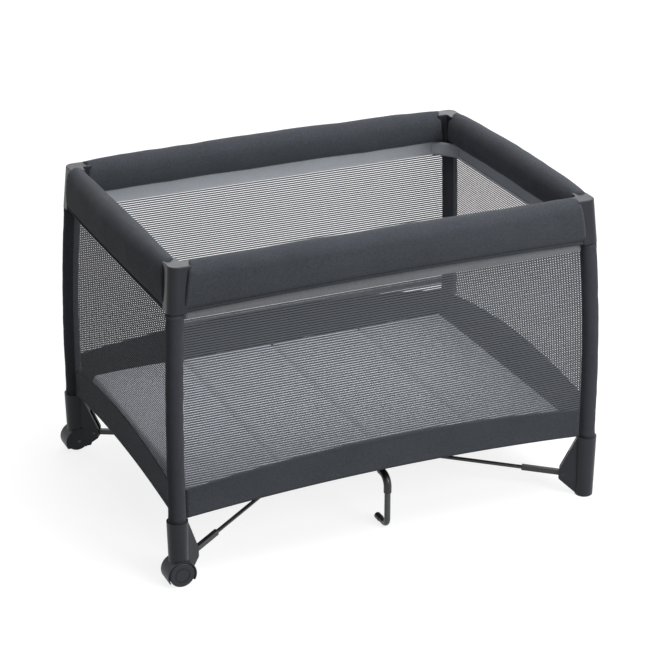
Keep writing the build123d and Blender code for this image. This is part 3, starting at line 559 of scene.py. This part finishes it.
def seat(piece, slot, body, *stands_for):
    """Ride a body and stand for CAD nodes; the slot is not used."""
    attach(piece, body)
    if stands_for:
        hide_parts(*stands_for)


# Rail covers
def cover_outline():
    """The cover's outline as (out, height), from its inner lower edge over the top to inside its skirt."""
    low_centre = (-COVER_HALF + COVER_LOW_WIDE, COVER_LOW + COVER_LOW_TALL)
    top_start = COVER_HIGH - COVER_TOP_ROUND
    outline = []
    for angle in np.radians(np.linspace(270, 180, LOW_ROUND_POINTS)):
        w = low_centre[0] + COVER_LOW_WIDE * math.cos(angle)
        outline.append((w, low_centre[1] + COVER_LOW_TALL * math.sin(angle)))
    for angle in np.radians(np.linspace(180, 0, TOP_ROUND_POINTS)[1:]):
        w = COVER_HALF * math.copysign(abs(math.cos(angle)) ** COVER_TOP_FULL, math.cos(angle))
        outline.append((w, top_start + COVER_TOP_ROUND * math.sin(angle)))
    hem = SKIRT_LOW + HEM_HEIGHT
    for share in np.linspace(0, 1, SIDE_POINTS)[1:-1]:
        z = top_start + share * (hem - top_start)
        base = COVER_HALF + share * (SKIRT_OUT - COVER_HALF)
        outline.append((base + COVER_SWELL * math.sin(math.pi * share), z))
    outline += [(SKIRT_OUT - inward, hem + up) for inward, up in HEM_GROOVE]
    outline += [(SKIRT_OUT - inward, SKIRT_LOW + up) for inward, up in HEM_EDGE]
    inside = SKIRT_OUT - SKIRT_THICK
    inside_heights = (SKIRT_LOW + SKIRT_TUCK, (SKIRT_LOW + COVER_LOW) / 2, COVER_LOW)
    outline += [(inside, z) for z in inside_heights]
    return outline


def cap_face(wall, w, z):
    """Where a cover ends along its rail, at the slanted end of the cap."""
    edge = SLEEVE_RADIUS - post_inset(min(z, CAP_TOP))
    share = min(1.0, max(0.0, (z - CAP_BOTTOM) / (CAP_TOP - CAP_BOTTOM)))
    leg = CAP_LEG_BOTTOM + share * (CAP_LEG_TOP - CAP_LEG_BOTTOM)
    depth = wall.line + edge - (wall.rail + w)
    return wall.run + edge - leg - CAP_LEG_RAKE * depth / CAP_LEG_DEPTH + COVER_LAP


def cover_spot(wall, hand, place, w, z, seed):
    """A point of a cover: bowed out and up along the rail, soft all over, gathered into the cap."""
    end = cap_face(wall, w, z)
    bow = 1 - (place / end) ** 2
    pad_share = min(1.0, max(0.0, (z - COVER_LOW) / (COVER_HIGH - COVER_LOW)))
    across = 0.5 + 0.5 * w / COVER_HALF
    out_by = w + COVER_BOW_OUT * bow * across
    skirt_share = max(0.0, (COVER_FOLD_HEIGHT - z) / (COVER_FOLD_HEIGHT - SKIRT_LOW))
    up_by = z + bow * (COVER_BOW_UP * pad_share + SKIRT_RISE * skirt_share * max(0.0, w / COVER_HALF))
    spot = wall.along * (hand * place) + wall.out * (wall.rail + out_by) + UP * up_by
    soft = max(0.0, min(1.0, (z - SKIRT_LOW - HEM_HEIGHT) / PAD_SOFT_RISE))
    gather = max(0.0, 1 - (end - place) / GATHER_LENGTH)
    pad = ripples(spot, PAD_RIPPLES, seed) * (1 - gather)
    pleat = PLEAT_DEPTH * gather * math.sin(PLEAT_TURNS.dot(Vector((z, w, place))))
    swell = UP * (z - COVER_FOLD_HEIGHT) + wall.out * w * PAD_SWELL_OUT
    return spot + swell.normalized() * soft * (pad + pleat - GATHER_PINCH * gather**2)


def cover_piece(name, wall, hand, start, stop, seed, open_bottom):
    """A stretch of cover from start to stop along the rail; with no stop it runs to the cap's face."""
    outline = cover_outline()
    steps = COVER_STEPS if stop else COLLAR_STEPS
    points = []
    for step in range(steps + 1):
        for w, z in outline:
            far = stop or cap_face(wall, w, z)
            place = start + (far - start) * step / steps
            points.append(cover_spot(wall, hand, place, w, z, seed))
    faces = grid_faces(steps + 1, len(outline), closed=not open_bottom)
    if not stop:
        last = steps * len(outline)
        faces.append(tuple(range(last, last + len(outline))))
    return make_piece(name, points, outward(faces, wall, hand), "rail")


def build_covers():
    """Two padded halves on each rail's tubes, and a collar at each corner that stays with its post."""
    for seed, wall in enumerate(WALLS):
        collar_start = cap_face(wall, 0.0, CAP_BOTTOM) - COLLAR_LENGTH
        for hand, post, end, tube in wall.halves:
            half = cover_piece(f"cover_{wall.name}_{end}", wall, hand, 0.0, collar_start, seed, False)
            seat(half, "rail_fabric", f"rail_{wall.name}_{tube}", f"rail_cover_{wall.name}")
            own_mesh(half)
            collar = cover_piece(f"collar_{wall.name}_{end}", wall, hand, collar_start, None, seed, True)
            seat(collar, "rail_fabric", post, f"rail_cover_{wall.name}")
            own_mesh(collar)


# Walls: net, binding and band, each in two halves that ride the two posts
def arch(at_post, at_middle, share):
    """Height of an arched edge at a share of the way from the middle to a post."""
    return at_middle + (at_post - at_middle) * share * share


def band_high(wall, share):
    """The band's upper edge, higher on some walls."""
    return arch(BAND_HIGH_AT_POST, BAND_HIGH_AT_MIDDLE, share) + BAND_RISE[wall.name]


def band_edges(wall, share):
    """The band's lower and upper edge."""
    return arch(BAND_LOW_AT_POST, BAND_LOW_AT_MIDDLE, share), band_high(wall, share)


def binding_edges(wall, _):
    """The binding's lower and upper edge, the same all along."""
    return BINDING_LOW[wall.name], BINDING_HIGH


def binding_levels(wall):
    """Shares of the binding's height, close together where it steps in under the caps."""
    step = (BINDING_STEP - BINDING_LOW[wall.name]) / (BINDING_HIGH - BINDING_LOW[wall.name])
    return (*BINDING_LOW_LEVELS, step - BINDING_STEP_HALF, step + BINDING_STEP_HALF, *BINDING_HIGH_LEVELS)


def wall_reach(wall, z):
    """Half the length of a wall at a height, up to the sleeve."""
    return wall.run - SLEEVE_RADIUS - WALL_GAP - post_inset(z)


def binding_reach(wall, z):
    """Half the length of the binding, shorter where it runs between the caps."""
    if z > BINDING_STEP:
        return wall.run - BINDING_SHORT
    return wall_reach(wall, z)


def fold_with(piece):
    """Give a half wall a mesh of its own."""
    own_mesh(piece)


def strip_half(name, wall, hand, levels, edges, reach, thick, material, facing, seed):
    """Half of a cloth strip, faced outside in a colour of its own, the darker side painted shade; edges are
    its heights by share, reach its length by height.
    """
    columns = wall.columns + 1
    hem_low, hem_high = HEM_SHARES
    points = []
    for face in (1, -1):
        for level in levels:
            for column in range(columns):
                share = column / wall.columns
                low, high = edges(wall, share)
                z = low + (high - low) * level
                line = wall.line - post_inset(min(z, BINDING_STEP))
                spot = wall.along * (hand * share * reach(wall, z)) + wall.out * line + UP * z
                slack = math.sin(math.pi * level) * (1 - share**SLACK_POWER)
                wave = WALL_WAVE * slack * ripple(spot, WALL_WAVE_SIZE, seed)
                half = thick / 2 * (1.0 if hem_low <= level <= hem_high else HEM_THICKER)
                points.append(spot + wall.out * (face * half + wave))
    rows = len(levels)
    count = rows * columns
    faces = grid_faces(rows, columns)
    rim = grid_rim(rows, columns)[: 2 * columns + rows - 2]
    for a, b in zip(rim, rim[1:]):
        faces.append((b, a, a + count, b + count))
    facing_count = len(faces)
    faces += flipped(grid_faces(rows, columns, start=count))
    return make_piece(
        name, points, outward(faces, wall, hand), material, facing=facing, facing_count=facing_count
    )


def corner_tape(corner, sx, sy):
    """The binding's turn round the inside of a corner, from one wall's tape to the other's."""
    inset = post_inset(BINDING_STEP)
    first = Vector((sx * (POST_X - BINDING_SHORT - TAPE_LAP), sy * (POST_Y - inset), 0))
    last = Vector((sx * (POST_X - inset), sy * (POST_Y - BINDING_SHORT - TAPE_LAP), 0))
    bend = Vector((sx * (POST_X - inset - TAPE_BEND), sy * (POST_Y - inset - TAPE_BEND), 0))
    inward = Vector((-sx, -sy, 0)).normalized()
    heights = np.linspace(BINDING_LOW["back"], BINDING_HIGH, TAPE_ROWS)
    points = []
    for face in (0.5, -0.5):
        for z in heights:
            for step in range(TAPE_STEPS + 1):
                s = step / TAPE_STEPS
                spot = first * (1 - s) ** 2 + bend * (2 * s * (1 - s)) + last * s**2
                points.append(spot + inward * face * BINDING_THICK + UP * z)
    faces = shell_faces(TAPE_ROWS, TAPE_STEPS + 1)
    if sx * sy < 0:
        faces = flipped(faces)
    return make_piece(f"tape_{corner}", points, faces, "binding")


def net_half(name, wall, hand):
    """Half of a knitted net: thread rows joined by short bars, set like bricks."""
    reach = wall.run - SLEEVE_RADIUS
    low = band_high(wall, 1.0) - NET_TUCK
    high = BINDING_LOW[wall.name] + NET_TUCK
    rows = round((high - low) / NET_ROW)
    cells = round(reach / NET_CELL)
    pitch = (high - low) / rows
    half_bar = NET_BAR / 2 / reach
    half_thread = NET_THREAD / 2
    points = []
    faces = []

    def quad(start, stop, bottom, top):
        if bottom < band_high(wall, (start + stop) / 2) - NET_TUCK:
            return
        first = len(points)
        for u, z in ((start, bottom), (stop, bottom), (stop, top), (start, top)):
            line = wall.line - post_inset(z)
            spot = wall.along * (hand * u * wall_reach(wall, z)) + wall.out * line
            points.append(spot + UP * z)
        faces.append((first, first + 1, first + 2, first + 3))

    for row in range(rows + 1):
        z = low + row * pitch
        for step in range(NET_SEGMENTS):
            quad(step / NET_SEGMENTS, (step + 1) / NET_SEGMENTS, z - half_thread, z + half_thread)
        for cell in range(cells):
            middle = (cell + 0.25 + 0.5 * (row % 2)) / cells
            quad(middle - half_bar, middle + half_bar, z + half_thread, z + pitch - half_thread)
    return make_piece(name, points, outward(faces, wall, hand), "net", smooth=False)


def build_walls():
    """Net, binding and lower band of every wall."""
    band_levels = np.linspace(0, 1, BAND_ROWS)
    for seed, wall in enumerate(WALLS):
        for hand, post, end, _ in wall.halves:
            part = f"{wall.name}_{end}"
            net = net_half(f"net_{part}", wall, hand)
            seat(net, "mesh_fabric", post, f"mesh_panel_{wall.name}")
            # The binding's outer side takes the darker facing, painted shade; its inner side takes the
            # tape, painted lighter for light shining through it.
            binding = strip_half(
                f"binding_{part}", wall, hand, binding_levels(wall), binding_edges,
                binding_reach, BINDING_THICK, "binding", "facing", BINDING_SEED + seed,
            )
            seat(binding, "mesh_fabric", post, f"mesh_panel_{wall.name}")
            # The band's inner side takes the darker lining colour, painted shade; its outer side takes the
            # band cloth.
            band = strip_half(
                f"band_{part}", wall, hand, band_levels, band_edges,
                wall_reach, BAND_THICK, "lining", "band", BAND_SEED + seed,
            )
            seat(band, "band_fabric", post, f"lower_band_{wall.name}")
            for piece in (net, binding, band):
                fold_with(piece)
    for corner, (sx, sy, post) in CORNERS.items():
        tape = corner_tape(corner, sx, sy)
        seat(tape, "mesh_fabric", post)


# Sleeves round the posts
def sleeve_radius(sx, sy, centre, outward_way):
    """A sleeve's outer radius at a place: creases, a welt where each wall is sewn on, hems at its ends."""
    z = centre.z
    spot = centre + outward_way * SLEEVE_RADIUS
    from_end = min(z - SLEEVE_BOTTOM, SLEEVE_TOP - z)
    crease = ripples(spot, SLEEVE_CREASES) * min(1.0, from_end / SLEEVE_END)
    welt = 0.0
    for seam in (Vector((-sx, 0, 0)), Vector((0, -sy, 0))):
        welt += WELT_HEIGHT * max(0.0, 1 - (1 - outward_way.dot(seam)) / WELT_SPREAD)
    hem = SLEEVE_HEM if from_end < SLEEVE_HEM_HEIGHT else 0.0
    return SLEEVE_RADIUS - SLEEVE_EASE + crease + welt + hem


def sleeve_piece(corner, sx, sy):
    """A cloth sleeve along a bowed post, outside and lining in one closed skin."""
    around = SLEEVE_AROUND
    outer_levels = np.linspace(SLEEVE_BOTTOM, SLEEVE_TOP, SLEEVE_RINGS)
    lining_levels = np.linspace(SLEEVE_TOP, SLEEVE_BOTTOM, LINING_RINGS)
    rings = [(z, False) for z in outer_levels] + [(z, True) for z in lining_levels]
    points = []
    for z, lining in rings:
        inset = post_inset(z)
        centre = Vector((sx * (POST_X - inset), sy * (POST_Y - inset), z))
        for step in range(around):
            angle = 2 * math.pi * step / around
            outward_way = Vector((math.cos(angle), math.sin(angle), 0))
            radius = SLEEVE_BORE if lining else sleeve_radius(sx, sy, centre, outward_way)
            points.append(centre + outward_way * radius)
    faces = grid_faces(len(rings), around, closed=True)
    last = (len(rings) - 1) * around
    for step in range(around):
        following = (step + 1) % around
        faces.append((last + step, last + following, following, step))
    return make_piece(f"sleeve_{corner}", points, faces, "sleeve")


def build_sleeves():
    """One sleeve on each post."""
    for corner, (sx, sy, post) in CORNERS.items():
        sleeve = sleeve_piece(corner, sx, sy)
        seat(sleeve, "sleeve_fabric", post, f"post_sleeve_{corner}")


# Floor fabric, in wedges that ride the hub
def floor_edge(angle):
    """Distance from the middle to the floor's edge in a direction, short of the post sleeves."""
    across = max(abs(math.cos(angle)) / FLOOR_HALF_X, abs(math.sin(angle)) / FLOOR_HALF_Y)
    edge = 1 / across
    for sx, sy, _ in CORNERS.values():
        way = Vector((math.cos(angle), math.sin(angle)))
        post = Vector((sx * POST_X, sy * POST_Y))
        along = post.dot(way)
        off = (post - way * along).length
        room = SLEEVE_RADIUS + FLOOR_POST_ROOM
        if along > 0 and off < room:
            edge = min(edge, along - math.sqrt(room * room - off * off))
    return edge


def build_floor():
    """The floor cloth as a ring of wedges."""
    rings = FLOOR_RINGS
    fan = FLOOR_FAN
    for wedge in range(FLOOR_WEDGES):
        points = []
        start = 2 * math.pi * wedge / FLOOR_WEDGES
        turn = 2 * math.pi / FLOOR_WEDGES
        for ring in range(rings + 1):
            for step in range(fan + 1):
                angle = start + turn * step / fan
                place = floor_edge(angle) * max(ring / rings, FLOOR_MIDDLE)
                spot = Vector((place * math.cos(angle), place * math.sin(angle), FLOOR_Z))
                rim = math.sin(math.pi * ring / rings)
                spot.z += rim * ripples(spot, FLOOR_RIPPLES)
                points.append(spot)
        piece = make_piece(f"floor_{wedge + 1}", points, grid_faces(rings + 1, fan + 1), "floor")
        seat(piece, "floor_fabric", "hub", "floor_fabric")
        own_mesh(piece)


# Mat: padded panels with piped edges
def mat_plan(u, v, half_x, half_y, outer):
    """Where a point of a panel lies in plan, with its outer corners rounded."""
    x = u * half_x
    y = v * half_y
    over_x = max(0.0, abs(x) - (half_x - MAT_CORNER))
    over_y = max(0.0, abs(y) - (half_y - MAT_CORNER))
    reach = math.hypot(over_x, over_y)
    if outer and reach > MAT_CORNER:
        x = math.copysign(half_x - MAT_CORNER + over_x * MAT_CORNER / reach, x)
        y = math.copysign(half_y - MAT_CORNER + over_y * MAT_CORNER / reach, y)
    return x, y


def mat_fullness(u, v, half_x, half_y, outer):
    """How full the pad is, from nothing at its edge to 1; a crease keeps a part of it."""
    edge_x = half_x - abs(u * half_x)
    edge_y = half_y - abs(v * half_y)
    across = edge_x / MAT_ROLL if outer else CREASE_FULL + edge_x / CREASE_ROLL
    return math.sin(math.pi / 2 * min(1.0, across)) * math.sin(math.pi / 2 * min(1.0, edge_y / MAT_ROLL))


def mat_panel(number, first, last):
    """One padded panel: flat underneath, crowned above, drawn in at its creases and corners."""
    low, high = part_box(f"mat_panel_{number}")
    long_steps = MAT_LONG_STEPS
    wide_steps = MAT_WIDE_STEPS
    tallest = high.z - low.z - MAT_HEADROOM - MAT_EDGE
    half_x = (high.x - low.x) / 2 - MAT_CLEAR
    half_y = (high.y - low.y) / 2
    centre = (low + high) / 2
    points = []
    for layer in (1, 0):
        for i in range(long_steps + 1):
            u = math.sin(math.pi / 2 * (2 * i / long_steps - 1))
            outer = (first and u < 0) or (last and u > 0)
            for j in range(wide_steps + 1):
                v = math.sin(math.pi / 2 * (2 * j / wide_steps - 1))
                x, y = mat_plan(u, v, half_x, half_y, outer)
                full = mat_fullness(u, v, half_x, half_y, outer)
                spot = Vector((centre.x + x, centre.y + y, 0))
                rise = MAT_EDGE + tallest * (1 - MAT_CROWN * (u * u + v * v) / 2)
                dimple = ripples(spot, MAT_DIMPLES)
                top = MAT_EDGE / 2 + (rise - MAT_EDGE / 2 + dimple) * full
                under = MAT_EDGE / 2 * (1 - full)
                spot.z = low.z + (top if layer else under)
                points.append(spot)
    faces = flipped(shell_faces(long_steps + 1, wide_steps + 1))
    return make_piece(f"mat_{number}", points, faces, "mat")


def strap_tab(name, x, edge_y, z):
    """A short webbing tab folded over the mat's edge."""
    points = []
    for lift in (0.0, TAB_THICK):
        for y, rise in TAB_PATH:
            out = lift if y > TAB_TURN else 0.0
            for side in (-0.5, 0.5):
                points.append(Vector((x + side * TAB_WIDTH, edge_y + y + out, z + rise + lift)))
    faces = flipped(shell_faces(len(TAB_PATH), 2))
    return make_piece(name, points, faces, "webbing", smooth=False)


def build_mat():
    """Four padded panels and the tabs at the back ends of the creases."""
    for number in range(1, 5):
        panel = mat_panel(number, number == 1, number == 4)
        seat(panel, "mat_fabric", f"mat_{number}", f"mat_panel_{number}")
    _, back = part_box("mat_panel_2")
    for number, x in enumerate(MAT_TABS):
        tab = strap_tab(f"mat_tab_{number + 1}", x, back.y - TAB_IN, back.z - TAB_DOWN)
        seat(tab, "mat_fabric", f"mat_{min(number + 2, 4)}")


# Stage, light and camera
STAGE_SIZE = 20.0
FLOOR_COLOUR = (0.28, 0.28, 0.28, 1)
FLOOR_ROUGHNESS = 0.9
FLOOR_GLOW = 0.84
GLOW_START = 1.6
GLOW_SPREAD = 4.5
SKY_LIGHT = 0.17
LAMPS = {
    "overhead": ((0.8, -0.9, 5.0), 3.4, 200.0),
    "front": ((1.6, -3.6, 2.3), 2.0, 103.0),
    "back": ((1.4, 3.0, 2.4), 2.0, 26.0),
}
LAMP_TARGET = Vector((0, 0, 0.35))


def seen_white(tree):
    """1 where the camera, a reflection or a clear piece looks straight at the backdrop."""
    path = tree.nodes.new("ShaderNodeLightPath")
    seen = math_node(tree, "MAXIMUM", path.outputs["Is Camera Ray"], path.outputs["Is Glossy Ray"])
    return math_node(tree, "MAXIMUM", seen, path.outputs["Is Transmission Ray"])


def build_stage():
    """A pale floor that keeps a light shadow, soft lamps and an even sky."""
    size = STAGE_SIZE
    corners = [(-size, -size, 0), (size, -size, 0), (size, size, 0), (-size, size, 0)]
    material, tree, shader = new_material("studio_floor")
    shader.inputs["Base Color"].default_value = FLOOR_COLOUR
    shader.inputs["Roughness"].default_value = FLOOR_ROUGHNESS
    shader.inputs["Specular IOR Level"].default_value = 0.0
    shader.inputs["Emission Color"].default_value = (1, 1, 1, 1)
    distance = tree.nodes.new("ShaderNodeVectorMath")
    distance.operation = "LENGTH"
    tree.links.new(rest_place(tree), distance.inputs[0])
    beyond = math_node(tree, "SUBTRACT", distance.outputs["Value"], GLOW_START)
    share = math_node(tree, "DIVIDE", beyond, GLOW_SPREAD)
    share = math_node(tree, "MINIMUM", math_node(tree, "MAXIMUM", share, 0.0), 1.0)
    level = math_node(tree, "ADD", math_node(tree, "MULTIPLY", share, 1 - FLOOR_GLOW), FLOOR_GLOW)
    glow = math_node(tree, "MULTIPLY", seen_white(tree), level)
    tree.links.new(glow, shader.inputs["Emission Strength"])
    MATERIALS["studio"] = material
    floor = make_piece("studio_floor", corners, [(0, 1, 2, 3)], "studio", smooth=False)

    world = bpy.data.worlds.new("studio_world")
    bpy.context.scene.world = world
    world.use_nodes = True
    sky = world.node_tree
    background = sky.nodes["Background"]
    background.inputs["Color"].default_value = (1, 1, 1, 1)
    brighter = math_node(sky, "MULTIPLY", seen_white(sky), 1 - SKY_LIGHT)
    sky.links.new(math_node(sky, "ADD", brighter, SKY_LIGHT), background.inputs["Strength"])

    for name, (place, width, power) in LAMPS.items():
        light = bpy.data.lights.new(name, "AREA")
        light.size = width
        light.energy = power
        lamp = bpy.data.objects.new(name, light)
        lamp.location = place
        lamp.rotation_mode = "QUATERNION"
        lamp.rotation_quaternion = (LAMP_TARGET - Vector(place)).to_track_quat("-Z", "Y")
        bpy.context.scene.collection.objects.link(lamp)


def build_camera():
    """The photograph's own viewpoint."""
    data = bpy.data.cameras.new("camera")
    data.lens = CAMERA_LENS
    data.sensor_width = SENSOR_WIDTH
    camera = bpy.data.objects.new("camera", data)
    camera.location = CAMERA_PLACE
    camera.rotation_mode = "QUATERNION"
    camera.rotation_quaternion = (Vector(CAMERA_TARGET) - Vector(CAMERA_PLACE)).to_track_quat("-Z", "Y")
    bpy.context.scene.collection.objects.link(camera)
    bpy.context.scene.camera = camera


build_camera()
build_stage()
build_covers()
build_walls()
build_sleeves()
build_floor()
build_mat()
bpy.context.scene.view_settings.view_transform = "Standard"
